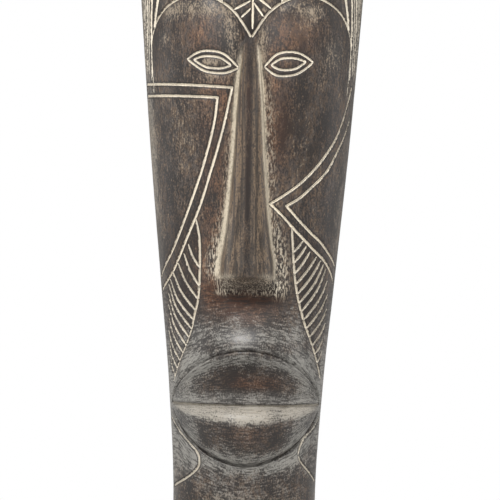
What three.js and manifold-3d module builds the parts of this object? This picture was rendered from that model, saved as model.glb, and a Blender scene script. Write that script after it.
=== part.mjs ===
// A tall carved wooden face that stands by its own weight, like a mask wrapped round a tapering log.
// Millimetres, +Z up, the face looks along -Y, and the origin is the middle of the underside.
// It is one piece of wood, so it is one solid: the big forms are pushed out of the log, and the lines
// are cut into it with V-shaped cutters that follow the surface.

import * as THREE from 'three';
import { mergeVertices } from 'three/addons/utils/BufferGeometryUtils.js';
import Module from 'manifold-3d';

// Overall sizes
const HEIGHT = 610;
const BROW_WIDTH = 212;
const FOOT_WIDTH = 133;
const BROW_FRONT_DEPTH = 66;
const FOOT_FRONT_DEPTH = 47;
const BROW_BACK_DEPTH = 50;
const FOOT_BACK_DEPTH = 46;

// How far the big forms stand out of the log
const NOSE_RISE = 23;
const LOBE_RISE = 10;
const MUZZLE_RISE = 21;
const MUZZLE_SWELL = 1.6;
const LOWER_LIP_RISE = 21;
const RIM_RISE = 1.5;
const SLIT_RISE = 5;
const JAW_RISE = 3;
const NOSE_VALLEY = 3;
const POCKET_DEPTH = 4;

// The knife lines
const LINE_WIDTH = 2.8;
const LINE_DEPTH = 1.9;
const EYE_LINE_WIDTH = 2.4;
const EYE_LINE_DEPTH = 1.6;
const LIP_LINE_WIDTH = 4;
const LIP_LINE_DEPTH = 2.8;
const HAIR_LINE_WIDTH = 3.4;
const HAIR_LINE_DEPTH = 1.6;
const CUTTER_SHOULDER = 1.5;
const CUTTER_LIFT = 4;
const TIP_SHARE = 0.3;

// How finely the log is faceted, and how far a cutter's straight run may leave the skin
const CUTTER_STEP = 3;
const CUTTER_RUN = 30;
const CUTTER_ERROR = 0.7;
const SIDE_COLUMNS = 7;
const BACK_COLUMNS = 8;
const CROWN_ROWS = 5;

// Carving is placed by two shares: across is per cent of the half width at that height, from the
// middle of the face, and up is per cent of the height. Minus across is the viewer's left.
const CROWN_START = 87;
const NOSE_TOP = 77.4;
const NOSE_TIP = 41.4;
const NOSE_FOOT = 39.4;
const RIM = 30.3;
const SLIT = 21.9;
const CHIN = 12.8;
const MOUTH_HALF = 96;
const LOBE_MIDDLE = { across: 49, up: 75 };
const LOBE_HALF = { across: 44, up: 8.6 };

const clamp01 = (t) => Math.min(Math.max(t, 0), 1);
const ease = (from, to, at) => {
  const t = clamp01((at - from) / (to - from));
  return t * t * (3 - 2 * t);
};
const mix = (a, b, t) => a + (b - a) * t;

// A smooth curve through [place, value] pairs that never swings past them
function profile(pairs, at) {
  const last = pairs.length - 1;
  if (at <= pairs[0][0]) return pairs[0][1];
  if (at >= pairs[last][0]) return pairs[last][1];
  const slope = (i) => (pairs[i + 1][1] - pairs[i][1]) / (pairs[i + 1][0] - pairs[i][0]);
  const lean = (i) => {
    if (i === 0) return slope(0);
    if (i === last) return slope(last - 1);
    const [a, b] = [slope(i - 1), slope(i)];
    return a * b <= 0 ? 0 : (2 * a * b) / (a + b);
  };
  let i = 0;
  while (at > pairs[i + 1][0]) i += 1;
  const step = pairs[i + 1][0] - pairs[i][0];
  const t = (at - pairs[i][0]) / step;
  const rise = (1 + 2 * t) * (1 - t) ** 2 * pairs[i][1] + t * t * (3 - 2 * t) * pairs[i + 1][1];
  return rise + step * (t * (1 - t) ** 2 * lean(i) + t * t * (t - 1) * lean(i + 1));
}

// The log

// Share of the way from the foot's size to the brow's, up the height
const TAPER = [[0, 0], [8, 0.01], [25, 0.16], [40, 0.38], [62, 0.7], [CROWN_START, 1]];
const dome = (up) => Math.sqrt(1 - clamp01((up - CROWN_START) / (100 - CROWN_START)) ** 2);
const between = (foot, brow, up) => mix(foot, brow, profile(TAPER, up)) * dome(up);
const halfWidth = (up) => between(FOOT_WIDTH, BROW_WIDTH, up) / 2;
const frontDepth = (up) => between(FOOT_FRONT_DEPTH, BROW_FRONT_DEPTH, up);
const backDepth = (up) => between(FOOT_BACK_DEPTH, BROW_BACK_DEPTH, up);
const FRONT_ROUNDNESS = 2.3;
const BACK_ROUNDNESS = 2.1;
const bow = (share, roundness) => (1 - Math.min(Math.abs(share), 1) ** roundness) ** (1 / roundness);

// The big forms, each in millimetres forward of the log

const NOSE_HALF = [[40, 31], [43, 30.3], [47, 25.5], [50, 22.6], [55, 18.7], [60, 15.6], [69, 11.7],
  [NOSE_TOP, 6]];
const NOSE_HEIGHT = [[43, 1], [50, 0.8], [60, 0.56], [69, 0.38], [75, 0.2], [NOSE_TOP, 0]];

function noseRise(across, up) {
  const beside = Math.abs(across) / profile(NOSE_HALF, up);
  const underside = clamp01((up - NOSE_FOOT) / (NOSE_TIP - NOSE_FOOT));
  const ridge = NOSE_RISE * profile(NOSE_HEIGHT, up) * underside * (1 - Math.min(beside, 1) ** 2.6) ** 0.45;
  const valley = Math.exp(-((Math.max(beside - 1, 0) / 0.7) ** 2)) * ease(NOSE_FOOT, NOSE_TIP + 4, up);
  return ridge - NOSE_VALLEY * valley * ease(NOSE_TOP + 2, NOSE_TOP - 6, up);
}

// The two brow domes: half ovals on top that run out into the cheeks
function lobeRise(across, up) {
  const side = (Math.abs(across) - LOBE_MIDDLE.across) / LOBE_HALF.across;
  const over = Math.max(up - LOBE_MIDDLE.up, 0) / LOBE_HALF.up;
  const reach = side * side + over * over;
  return reach >= 1 ? 0 : LOBE_RISE * (1 - reach) ** 0.7 * ease(58, 75, up);
}

// Where the muzzle ends at each side: along the spines of the two feathers
const MUZZLE_EDGE = [[22, 100], [25, 95], [28, 87], [31, 76], [34, 66], [37, 58], [45, 50]];

// The mouth's edge above and below the slit, as a height share
const mouthBow = (across) => bow(across / MOUTH_HALF, 1.8);
const upperEdge = (across) => SLIT + (RIM - SLIT) * mouthBow(across);
const lowerEdge = (across) => SLIT - (SLIT - CHIN) * mouthBow(across);

// The upper lip's raised rim, as shares of the way from the slit to the lip's edge
const RIM_STEP = [0.78, 0.88];
const SAME_PLACE = 1e-6;

function mouthRise(across, up) {
  const inwards = 1 - clamp01(Math.abs(across) / 100) ** 2.4;
  const half = mouthBow(across);
  if (up > upperEdge(across) + SAME_PLACE || half === 0) {
    const edge = profile(MUZZLE_EDGE, up);
    const middle = (1 - clamp01(Math.abs(across) / edge) ** 2.2) ** 0.8;
    return MUZZLE_RISE * middle * ease(NOSE_FOOT, RIM, up) ** MUZZLE_SWELL * ease(SLIT - 4, SLIT, up);
  }
  if (up >= SLIT) {
    const t = (up - SLIT) / ((RIM - SLIT) * half);
    return inwards * (mix(SLIT_RISE, MUZZLE_RISE - 1, t ** 1.6) + RIM_RISE * ease(...RIM_STEP, t));
  }
  const t = (SLIT - up) / ((SLIT - CHIN) * half);
  if (t < 1) {
    const bulge = Math.sin(Math.PI * t ** 0.62);
    return inwards * (mix(SLIT_RISE, JAW_RISE, t) + (LOWER_LIP_RISE - SLIT_RISE) * bulge);
  }
  return inwards * JAW_RISE * ease(4, CHIN, up);
}

// The hollows under the jaw, open to the side, where they run out to the log's own skin: each has its
// own corner and reach
const POCKETS = [
  { side: -1, corner: 62, up: 13.4, above: 5.6, below: 4.6 },
  { side: 1, corner: 72, up: 14.4, above: 5.6, below: 4.4 },
];
const POCKET_POINT = 1.3;
const POCKET_OPENS = [100, 94];

function pocketRise(across, up) {
  let rise = 0;
  for (const pocket of POCKETS) {
    const out = (100 - across * pocket.side) / (100 - pocket.corner);
    const off = Math.abs(up - pocket.up) / (up > pocket.up ? pocket.above : pocket.below);
    const reach = Math.max(out, 0) ** POCKET_POINT + off ** POCKET_POINT;
    const open = ease(...POCKET_OPENS, across * pocket.side);
    if (reach < 1) rise -= POCKET_DEPTH * open * (1 - reach ** 3);
  }
  return rise;
}

const faceRise = (across, up) =>
  noseRise(across, up) + lobeRise(across, up) + mouthRise(across, up) + pocketRise(across, up);

// A point of the surface: turn is degrees round from the middle of the face, up is the height share
function surface(turn, up) {
  const share = Math.sin(THREE.MathUtils.degToRad(turn));
  const x = halfWidth(up) * share;
  const z = (HEIGHT * up) / 100;
  if (Math.cos(THREE.MathUtils.degToRad(turn)) < 0) {
    return new THREE.Vector3(x, backDepth(up) * bow(share, BACK_ROUNDNESS), z);
  }
  const forward = frontDepth(up) * bow(share, FRONT_ROUNDNESS) + faceRise(share * 100, up);
  return new THREE.Vector3(x, -forward, z);
}

function turnOf(across) {
  const turn = THREE.MathUtils.radToDeg(Math.asin(clamp01(Math.abs(across) / 100)));
  return turn * Math.sign(across);
}

// The log's mesh: rings of columns that follow the nose, then the flank, then the plain back

const NOSE_COLUMNS = [-1.15, -1, -0.75, -0.4, 0, 0.4, 0.75, 1, 1.15];

// Rows of the mesh: each band ends at a height share and is cut into rows about that many mm high
const ROW_BANDS = [[8, 25], [CHIN, 14], [SLIT, 11], [mix(SLIT, RIM, RIM_STEP[0]), 10],
  [mix(SLIT, RIM, RIM_STEP[1]), 10], [RIM, 10], [NOSE_FOOT, 14], [NOSE_TIP, 12], [60, 38],
  [NOSE_TOP, 18], [CROWN_START, 15]];
const ROWS_BEND_FROM = 5;
const NARROWEST_BOW = 0.3;

// Rows near the mouth bend with the lips. Behind the face they straighten out again.
function bentRow(up, turn) {
  const beyond = Math.abs(turn) - 90;
  const half = beyond <= 0
    ? Math.max(mouthBow(100 * Math.sin(THREE.MathUtils.degToRad(turn))), NARROWEST_BOW)
    : mix(NARROWEST_BOW, 1, ease(0, 60, Math.min(beyond, 180 - beyond)));
  const bottom = SLIT - (SLIT - CHIN) * half;
  const top = SLIT + (RIM - SLIT) * half;
  if (up <= ROWS_BEND_FROM || up >= NOSE_FOOT) return up;
  if (up < CHIN) return mix(ROWS_BEND_FROM, bottom, (up - ROWS_BEND_FROM) / (CHIN - ROWS_BEND_FROM));
  if (up < SLIT) return mix(SLIT, bottom, (SLIT - up) / (SLIT - CHIN));
  if (up < RIM) return mix(SLIT, top, (up - SLIT) / (RIM - SLIT));
  return mix(NOSE_FOOT, top, (NOSE_FOOT - up) / (NOSE_FOOT - RIM));
}

function ringTurns(up) {
  const nose = NOSE_COLUMNS.map((s) => turnOf(s * profile(NOSE_HALF, up)));
  const flank = [];
  const edge = nose[nose.length - 1];
  for (let i = 1; i <= SIDE_COLUMNS; i += 1) flank.push(mix(edge, 90, i / SIDE_COLUMNS));
  const back = [];
  for (let i = 1; i < BACK_COLUMNS; i += 1) back.push(90 + (180 * i) / BACK_COLUMNS);
  return [...flank.map((turn) => -turn).reverse(), ...nose, ...flank, ...back];
}

function rowHeights() {
  const rows = [0];
  for (const [to, step] of ROW_BANDS) {
    const from = rows[rows.length - 1];
    const count = Math.max(1, Math.round(((to - from) * HEIGHT) / 100 / step));
    for (let i = 1; i <= count; i += 1) rows.push(mix(from, to, i / count));
  }
  for (let i = 1; i < CROWN_ROWS; i += 1) {
    rows.push(CROWN_START + (100 - CROWN_START) * Math.sin((Math.PI * i) / (2 * CROWN_ROWS)));
  }
  return rows;
}

function logGeometry() {
  const rings = rowHeights().map((up) => ringTurns(up).map((turn) => surface(turn, bentRow(up, turn))));
  const count = rings[0].length;
  const points = rings.flat();
  const foot = points.push(new THREE.Vector3(0, 0, 0)) - 1;
  const crown = points.push(new THREE.Vector3(0, 0, HEIGHT)) - 1;
  const faces = [];
  for (let i = 0; i < count; i += 1) {
    const j = (i + 1) % count;
    for (let row = 0; row + 1 < rings.length; row += 1) {
      const [a, b, c, d] = [row * count + i, row * count + j, (row + 1) * count + j, (row + 1) * count + i];
      const cutOneWay = points[a].distanceTo(points[c]) < points[b].distanceTo(points[d]);
      faces.push(...(cutOneWay ? [a, b, c, a, c, d] : [a, b, d, b, c, d]));
    }
    const top = (rings.length - 1) * count;
    faces.push(foot, j, i, crown, top + i, top + j);
  }
  return new THREE.BufferGeometry().setFromPoints(points).setIndex(faces);
}

// Cutters

const wasm = await Module();
wasm.setup();

function toSolid(geometry) {
  const bare = new THREE.BufferGeometry();
  bare.setAttribute('position', geometry.getAttribute('position').clone());
  if (geometry.index) bare.setIndex(geometry.index.clone());
  const merged = mergeVertices(bare, 1e-4);
  const vertProperties = Float32Array.from(merged.getAttribute('position').array);
  const triVerts = Uint32Array.from(merged.index.array);
  return new wasm.Manifold(new wasm.Mesh({ numProp: 3, vertProperties, triVerts }));
}

function outward(turn, up) {
  const alongRow = surface(turn + 0.4, up).sub(surface(turn - 0.4, up));
  const upwards = surface(turn, up + 0.15).sub(surface(turn, up - 0.15));
  return alongRow.cross(upwards).normalize();
}

// Even samples of a smooth line through [turn, up] points, laid out flat so that lengths are about true
function samples(points) {
  const turnLength = (BROW_WIDTH * Math.PI) / 2 / 180;
  const upLength = HEIGHT / 100;
  const flat = points.map(([turn, up]) => new THREE.Vector2(turn * turnLength, up * upLength));
  const curve = flat.length === 2 ? new THREE.LineCurve(...flat) : new THREE.SplineCurve(flat);
  const steps = Math.max(2, Math.ceil(curve.getLength() / CUTTER_STEP));
  const fine = curve.getSpacedPoints(steps).map((p) => [p.x / turnLength, p.y / upLength]);
  return straightRuns(fine);
}

// Drops the samples that a straight run can do without
function straightRuns(fine) {
  const spots = fine.map(([turn, up]) => surface(turn, up));
  const runIsTrue = (from, to) => {
    const run = new THREE.Line3(spots[from], spots[to]);
    const near = new THREE.Vector3();
    for (let i = from + 1; i < to; i += 1) {
      if (run.closestPointToPoint(spots[i], true, near).distanceTo(spots[i]) > CUTTER_ERROR) return false;
    }
    return run.distance() <= CUTTER_RUN;
  };
  const kept = [0];
  for (let i = 1; i < fine.length; i += 1) {
    if (i + 1 === fine.length || !runIsTrue(kept[kept.length - 1], i + 1)) kept.push(i);
  }
  return kept.map((i) => fine[i]);
}

// A cutter along a line on the surface: a V that widens to its shoulders, just above the skin, and
// straight walls over them. ends says which ends run out to a thin tip.
function cutter(points, width, depth, ends = 'both') {
  const line = samples(points);
  const spots = line.map(([turn, up]) => surface(turn, up));
  const corners = [];
  line.forEach(([turn, up], i) => {
    const normal = outward(turn, up);
    const ahead = spots[Math.min(i + 1, spots.length - 1)].clone().sub(spots[Math.max(i - 1, 0)]).normalize();
    const side = ahead.cross(normal).normalize();
    const isTip = (i === 0 && ends !== 'last' && ends !== 'none')
      || (i === spots.length - 1 && ends !== 'first' && ends !== 'none');
    const size = isTip ? TIP_SHARE : 1;
    const half = ((width / 2) * (depth * size + CUTTER_SHOULDER)) / depth;
    const corner = (out, lift) => {
      corners.push(spots[i].clone().addScaledVector(normal, lift).addScaledVector(side, out));
    };
    corner(0, -depth * size);
    corner(half, CUTTER_SHOULDER);
    corner(half, CUTTER_LIFT);
    corner(-half, CUTTER_LIFT);
    corner(-half, CUTTER_SHOULDER);
  });
  const sides = 5;
  const faces = [];
  for (let k = 1; k + 1 < sides; k += 1) faces.push(0, k, k + 1);
  for (let i = 0; i + 1 < spots.length; i += 1) {
    for (let k = 0; k < sides; k += 1) {
      const [a, b] = [sides * i + k, sides * i + ((k + 1) % sides)];
      faces.push(a, a + sides, b, b, a + sides, b + sides);
    }
  }
  const end = sides * (spots.length - 1);
  for (let k = 1; k + 1 < sides; k += 1) faces.push(end, end + k + 1, end + k);
  return toSolid(new THREE.BufferGeometry().setFromPoints(corners).setIndex(faces));
}

// A line given as [across, up] shares
const onFace = (points) => points.map(([across, up]) => [turnOf(across), up]);

// The heart-shaped edge of the face: out of the side, over the brow dome and down to the leaf's point
const HEART = [[92, 69], [92, 76], [87, 79.3], [78, 81.5], [63, 83.1], [46, 83.6], [28, 82.6], [14, 80.7],
  [1, 77.4]];

// The leaf between the brow domes. Its veins stand closer together near its point.
const LEAF_RIB = [[0.8, 78.4], [0.8, 94]];
const LEAF_EDGE = [[26, 82.5], [29, 86], [22, 91], [1, 95.5]];
const LEAF_REACH = [[79.3, 7], [80.7, 12], [82.2, 22], [83.5, 26], [86, 28], [91, 21], [95, 3]];
const LEAF_VEINS = [
  { side: -1, first: 81.5, drop: 1.4 },
  { side: 1, first: 82.5, drop: 2.2 },
];
const VEINS_PER_SIDE = 6;

function leafLines() {
  const lines = [LEAF_RIB, LEAF_EDGE, LEAF_EDGE.map(([across, up]) => [-across, up])];
  for (const { side, first, drop } of LEAF_VEINS) {
    for (let i = 0; i < VEINS_PER_SIDE; i += 1) {
      const start = first + i + 0.18 * i * i;
      lines.push([[side, start], [side * profile(LEAF_REACH, start - drop), start - drop]]);
    }
  }
  return lines;
}

// The eyes: two almonds, one inside the other
const ALMONDS = [
  [[-58.5, 73.8], [-38, 75], [-11, 72.6], [-30, 71.7]],
  [[-52.6, 73.7], [-38, 74.2], [-17.7, 72.9], [-32, 72.4]],
  [[12, 72.8], [34, 75], [57, 73.6], [30, 71.4]],
  [[18, 73], [34, 74.1], [50.4, 73.6], [32, 72.3]],
];

function almondLines([left, top, right, bottom]) {
  const arc = (peak) => {
    const shoulder = (tip) => [mix(tip[0], peak[0], 0.5), mix(tip[1], peak[1], 0.8)];
    return [left, shoulder(left), peak, shoulder(right), right];
  };
  return [arc(top), arc(bottom)];
}

// The band like a 7 on the viewer's left
const SEVEN = [
  [[-99, 70.6], [-17, 69.6]],
  [[-99, 68.8], [-31, 68.1]],
  [[-31, 68.1], [-36, 63.3], [-50, 56.3], [-69, 49.4], [-85, 44.7], [-98, 41.2]],
  [[-17, 69.6], [-26.5, 63.2], [-39, 57], [-54, 50.8], [-76.5, 44], [-89, 41], [-99, 38.8]],
];

// The band like a K on the viewer's right, with its point against the nose
const KAY = [
  [[22, 52.4], [35, 53.6], [51, 55.4], [66, 57.8], [78, 60.5], [86, 63], [91, 65.9], [96, 70.4]],
  [[39, 52.1], [52, 53.3], [64, 55], [78, 57.4], [86, 60], [93, 62.9], [97.5, 66]],
  [[39, 52.1], [53, 50], [67, 48.1], [78, 46.8], [88, 45.2], [98, 43]],
  [[22, 52.4], [36, 50.5], [48, 48.7], [60, 47.1], [73, 45.4], [86, 43.7], [98, 40.6]],
];

// A feather on each cheek: a spine, and barbs that sweep down to it from the face's edge. starts and ends
// give the barbs' heights along the feather, sags how far their middles bow out to the side, and edge the
// face's edge across at a height.
const FEATHERS = [
  {
    side: -1,
    barbs: 12,
    spine: [[55.5, 50], [52.6, 46.8], [53.5, 42.3], [56.3, 38.2], [61, 35.8], [67, 33], [76, 30.3],
      [85, 27.9], [92.5, 25.2]],
    edge: [[27.4, 94.4], [31, 94.9], [35.7, 93], [39.6, 90.5], [41.9, 84.8], [44.6, 71.2], [46.2, 65]],
    starts: [[0, 46.2], [0.36, 40.9], [0.45, 40.1], [1, 28.9]],
    ends: [[0, 42.6], [0.09, 39.9], [0.27, 36.2], [1, 26]],
    sags: [[0, 1.8], [0.2, 3.4], [0.45, 5.6], [0.65, 4], [1, 1.5]],
  },
  {
    side: 1,
    barbs: 13,
    spine: [[45.9, 48.8], [47.6, 47], [51.6, 42.5], [57.5, 38.6], [67.1, 34.8], [77.9, 31.8], [88.5, 28.5],
      [95, 25.8]],
    edge: [[30.1, 93], [36.8, 94], [41.3, 90.4], [42.9, 87], [44.3, 78.5], [45.4, 67.6], [47.1, 59]],
    starts: [[0, 47], [0.25, 44.6], [0.5, 42.7], [0.58, 41], [1, 29.9]],
    ends: [[0, 45.1], [0.33, 38.9], [0.67, 33.6], [1, 28.4]],
    sags: [[0, 0.6], [0.25, 1.6], [0.5, 4.4], [0.75, 3], [1, 1]],
  },
];

function featherLines({ side, barbs, spine, edge, starts, ends, sags }) {
  const lines = [spine];
  const spineAt = [...spine].reverse().map(([across, up]) => [up, across]);
  for (let i = 0; i < barbs; i += 1) {
    const t = i / (barbs - 1);
    const [high, low] = [profile(starts, t), profile(ends, t)];
    const [start, end] = [profile(edge, high), profile(spineAt, low)];
    const middle = [mix(start, end, 0.5) + profile(sags, t), mix(high, low, 0.5)];
    lines.push([[start, high], middle, [end, low]]);
  }
  return lines.map((line) => line.map(([across, up]) => [across * side, up]));
}

// The mouth: the two edges of the lips, and the slit
function edgeLine(edge, reach, steps) {
  const points = [];
  for (let i = 0; i <= steps; i += 1) {
    const across = -reach * Math.cos((Math.PI * i) / steps);
    points.push([across, edge(across)]);
  }
  return points;
}

const lipLines = () => [upperEdge, lowerEdge].map((edge) => edgeLine(edge, MOUTH_HALF - 1, 14));
const SLIT_LINE = [[-MOUTH_HALF, SLIT], [0, SLIT], [MOUTH_HALF, SLIT]];

// The line round each hollow under the jaw
const POCKET_LINES = [
  [[-98, 19.6], [-88, 17.6], [-67, 15], [-62, 13.5], [-66, 12.1], [-83, 10.4], [-98, 9]],
  [[98, 20], [92, 18.4], [80, 16.9], [75, 15.8], [72, 14.4]],
  [[72, 14.4], [79, 13], [90, 11.5], [98, 10]],
];

// Hair: locks that rise from the temples, over the crown and down the plain back
const SIDE_LOCKS = 4;
const BACK_LOCKS = 5;

function hairLines() {
  const lines = [];
  for (const side of [-1, 1]) {
    for (let i = 0; i < SIDE_LOCKS; i += 1) {
      const foot = i === 0 ? 79 : 70.5 + i;
      const line = [[62 + 7 * i, foot], [57.5 + 6.3 * i, 82.6], [48 + 7 * i, 88.5], [35 + 9 * i, 95]];
      lines.push(line.map(([turn, up]) => [turn * side, up]));
    }
  }
  for (let i = 0; i < BACK_LOCKS; i += 1) {
    const turn = 180 + 30 * (i - (BACK_LOCKS - 1) / 2);
    lines.push([[turn, 70], [turn, 82], [turn, 93]]);
  }
  return lines;
}

function carve(log) {
  const cutters = [];
  const cut = (lines, width, depth, ends) => {
    lines.forEach((line) => cutters.push(cutter(line, width, depth, ends)));
  };
  const heart = [onFace(HEART), onFace(HEART.map(([across, up]) => [-across, up]))];
  cut(heart, LINE_WIDTH, LINE_DEPTH, 'first');
  cut(leafLines().map(onFace), LINE_WIDTH, LINE_DEPTH, 'both');
  cut(ALMONDS.flatMap(almondLines).map(onFace), EYE_LINE_WIDTH, EYE_LINE_DEPTH, 'both');
  cut([...SEVEN, ...KAY].map(onFace), LINE_WIDTH, LINE_DEPTH, 'none');
  for (const feather of FEATHERS) {
    cut(featherLines(feather).map(onFace), LINE_WIDTH, LINE_DEPTH, 'both');
  }
  cut(lipLines().map(onFace), LIP_LINE_WIDTH, LIP_LINE_DEPTH, 'both');
  cut([SLIT_LINE, ...POCKET_LINES].map(onFace), LINE_WIDTH, LINE_DEPTH, 'both');
  cut(hairLines(), HAIR_LINE_WIDTH, HAIR_LINE_DEPTH, 'both');
  let solid = log;
  for (const tool of cutters) solid = solid.subtract(tool);
  return withoutChips(solid);
}

// Where lines cross at a sharp angle a chip of wood can come free, as it does under a real knife
function withoutChips(solid) {
  const bodies = solid.decompose();
  return bodies.reduce((largest, body) => (body.volume() > largest.volume() ? body : largest));
}

function toGeometry(solid) {
  const mesh = solid.getMesh();
  const geometry = new THREE.BufferGeometry();
  geometry.setAttribute('position', new THREE.BufferAttribute(Float32Array.from(mesh.vertProperties), 3));
  geometry.setIndex(new THREE.BufferAttribute(Uint32Array.from(mesh.triVerts), 1));
  geometry.computeVertexNormals();
  return geometry;
}

const stainedWood = new THREE.MeshStandardMaterial({ color: 0x4a3f39, roughness: 0.5, metalness: 0 });
const mask = new THREE.Mesh(toGeometry(carve(toSolid(logGeometry()))), stainedWood);
mask.name = 'carved_mask';

const sculpture = new THREE.Group();
sculpture.add(mask);

export default sculpture;
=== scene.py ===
# %% [markdown]
# # A carved wooden face
# This lesson dresses one object: a tall face carved from a tapering log, stained nearly black, with pale
# whitewash left in its knife lines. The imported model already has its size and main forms. Blender gives it
# a fine surface: crisp lines, tool marks, worn colour and a waxy shine.

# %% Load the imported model
import math

import bpy
import numpy as np
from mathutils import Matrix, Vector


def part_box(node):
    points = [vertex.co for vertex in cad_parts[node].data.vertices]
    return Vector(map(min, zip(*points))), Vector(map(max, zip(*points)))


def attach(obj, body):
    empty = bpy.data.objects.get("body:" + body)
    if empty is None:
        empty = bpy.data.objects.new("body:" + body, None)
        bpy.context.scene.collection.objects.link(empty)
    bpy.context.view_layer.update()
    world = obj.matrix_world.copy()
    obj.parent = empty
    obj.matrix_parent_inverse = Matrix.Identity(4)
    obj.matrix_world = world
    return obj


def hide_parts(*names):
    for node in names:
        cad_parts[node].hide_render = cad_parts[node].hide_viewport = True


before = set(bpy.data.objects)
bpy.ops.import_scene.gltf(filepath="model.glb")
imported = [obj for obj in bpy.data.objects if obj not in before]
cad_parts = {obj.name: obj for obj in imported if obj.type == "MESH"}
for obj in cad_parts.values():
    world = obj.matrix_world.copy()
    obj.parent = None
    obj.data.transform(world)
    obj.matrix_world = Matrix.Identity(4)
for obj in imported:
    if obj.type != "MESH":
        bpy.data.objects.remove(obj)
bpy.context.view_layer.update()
NODE = "carved_mask"
low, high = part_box(NODE)
print("the log's box", [round(v, 4) for v in low], [round(v, 4) for v in high])

# %% [markdown]
# ## Sizes
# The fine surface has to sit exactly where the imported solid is, so it is worked out from the same sizes. The
# height and the brow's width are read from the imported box. The other sizes are written once, in metres.

# %% The log's sizes
HEIGHT = high[2] - low[2]
BROW_WIDTH = high[0] - low[0]
FOOT_WIDTH = 0.133
BROW_FRONT_DEPTH = 0.066
FOOT_FRONT_DEPTH = 0.047
BROW_BACK_DEPTH = 0.050
FOOT_BACK_DEPTH = 0.046
print("height", round(HEIGHT, 4), "brow", round(BROW_WIDTH, 4))

# %% How far the big forms stand out
NOSE_RISE = 0.023
LOBE_RISE = 0.010
MUZZLE_RISE = 0.021
MUZZLE_SWELL = 1.6
LOWER_LIP_RISE = 0.021
RIM_RISE = 0.0015
SLIT_RISE = 0.005
JAW_RISE = 0.003
NOSE_VALLEY = 0.003
POCKET_DEPTH = 0.004

# %% [markdown]
# ## Two shares instead of coordinates
# A carver lays a face out by proportion. Here a place is two shares: across is per cent of the half width at
# that height, with minus to the viewer's left, and up is per cent of the height. The places are the same
# ones that the solid uses.

# %% Places of the features, as shares
CROWN_START = 87
NOSE_TOP = 77.4
NOSE_TIP = 41.4
NOSE_FOOT = 39.4
RIM = 30.3
SLIT = 21.9
CHIN = 12.8
MOUTH_HALF = 96
LOBE_MIDDLE = (49, 75)
LOBE_HALF = (44, 8.6)
TAPER = [(0, 0), (8, 0.01), (25, 0.16), (40, 0.38), (62, 0.7), (CROWN_START, 1)]
NOSE_HALF = [(40, 31), (43, 30.3), (47, 25.5), (50, 22.6), (55, 18.7), (60, 15.6), (69, 11.7), (NOSE_TOP, 6)]
NOSE_HEIGHT = [(43, 1), (50, 0.8), (60, 0.56), (69, 0.38), (75, 0.2), (NOSE_TOP, 0)]
MUZZLE_EDGE = [(22, 100), (25, 95), (28, 87), (31, 76), (34, 66), (37, 58), (45, 50)]
FRONT_ROUNDNESS = 2.3
BACK_ROUNDNESS = 2.1

# %% Small helpers for numbers and arrays
def clamp01(t):
    return np.clip(t, 0, 1)


def ease(start, stop, at):
    t = clamp01((np.asarray(at, float) - start) / (stop - start))
    return t * t * (3 - 2 * t)


def mix(a, b, t):
    return a + (b - a) * t


def profile(pairs, at):
    """A smooth curve through (place, value) pairs that never swings past them."""
    place, value = np.array(pairs, float).T
    slope = np.diff(value) / np.diff(place)
    a, b = slope[:-1], slope[1:]
    total = np.where(a * b > 0, a + b, 1)
    lean = np.concatenate([slope[:1], np.where(a * b > 0, 2 * a * b / total, 0), slope[-1:]])
    at = np.clip(np.asarray(at, float), place[0], place[-1])
    i = np.clip(np.searchsorted(place, at, side="right") - 1, 0, len(slope) - 1)
    step = place[i + 1] - place[i]
    t = (at - place[i]) / step
    rise = (1 + 2 * t) * (1 - t) ** 2 * value[i] + t * t * (3 - 2 * t) * value[i + 1]
    return rise + step * (t * (1 - t) ** 2 * lean[i] + t * t * (t - 1) * lean[i + 1])


def bow(share, roundness):
    return (1 - np.minimum(np.abs(share), 1) ** roundness) ** (1 / roundness)


print("half way up the taper", round(float(profile(TAPER, 50)), 3))

# %% [markdown]
# ## The log and its big forms
# The real log is an oval that widens towards the brow and closes in a dome. The nose, the two brow domes,
# the muzzle and the lips are pushed forward from it. They could be sculpted by hand, but a rule for each
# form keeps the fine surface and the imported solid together.

# %% The log without its forms
def dome(up):
    return np.sqrt(1 - clamp01((up - CROWN_START) / (100 - CROWN_START)) ** 2)


def between(foot, brow, up):
    return mix(foot, brow, profile(TAPER, up)) * dome(up)


def half_width(up):
    return between(FOOT_WIDTH, BROW_WIDTH, up) / 2


print("half width at the slit", round(float(half_width(SLIT)), 4))

# %% The nose and the brow domes
def nose_rise(across, up):
    beside = np.abs(across) / profile(NOSE_HALF, up)
    underside = clamp01((up - NOSE_FOOT) / (NOSE_TIP - NOSE_FOOT))
    ridge = NOSE_RISE * profile(NOSE_HEIGHT, up) * underside * (1 - np.minimum(beside, 1) ** 2.6) ** 0.45
    valley = np.exp(-((np.maximum(beside - 1, 0) / 0.7) ** 2)) * ease(NOSE_FOOT, NOSE_TIP + 4, up)
    return ridge - NOSE_VALLEY * valley * ease(NOSE_TOP + 2, NOSE_TOP - 6, up)


def lobe_rise(across, up):
    side = (np.abs(across) - LOBE_MIDDLE[0]) / LOBE_HALF[0]
    over = np.maximum(up - LOBE_MIDDLE[1], 0) / LOBE_HALF[1]
    reach = np.minimum(side * side + over * over, 1)
    return LOBE_RISE * (1 - reach) ** 0.7 * ease(58, 75, up)


# %% The muzzle and the lips
def mouth_bow(across):
    return bow(across / MOUTH_HALF, 1.8)


def upper_edge(across):
    return SLIT + (RIM - SLIT) * mouth_bow(across)


def lower_edge(across):
    return SLIT - (SLIT - CHIN) * mouth_bow(across)


# The upper lip's raised rim, as shares of the way from the slit to the lip's edge
RIM_STEP = (0.78, 0.88)
# Two places closer than this count as one
SAME_PLACE = 1e-6


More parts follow.
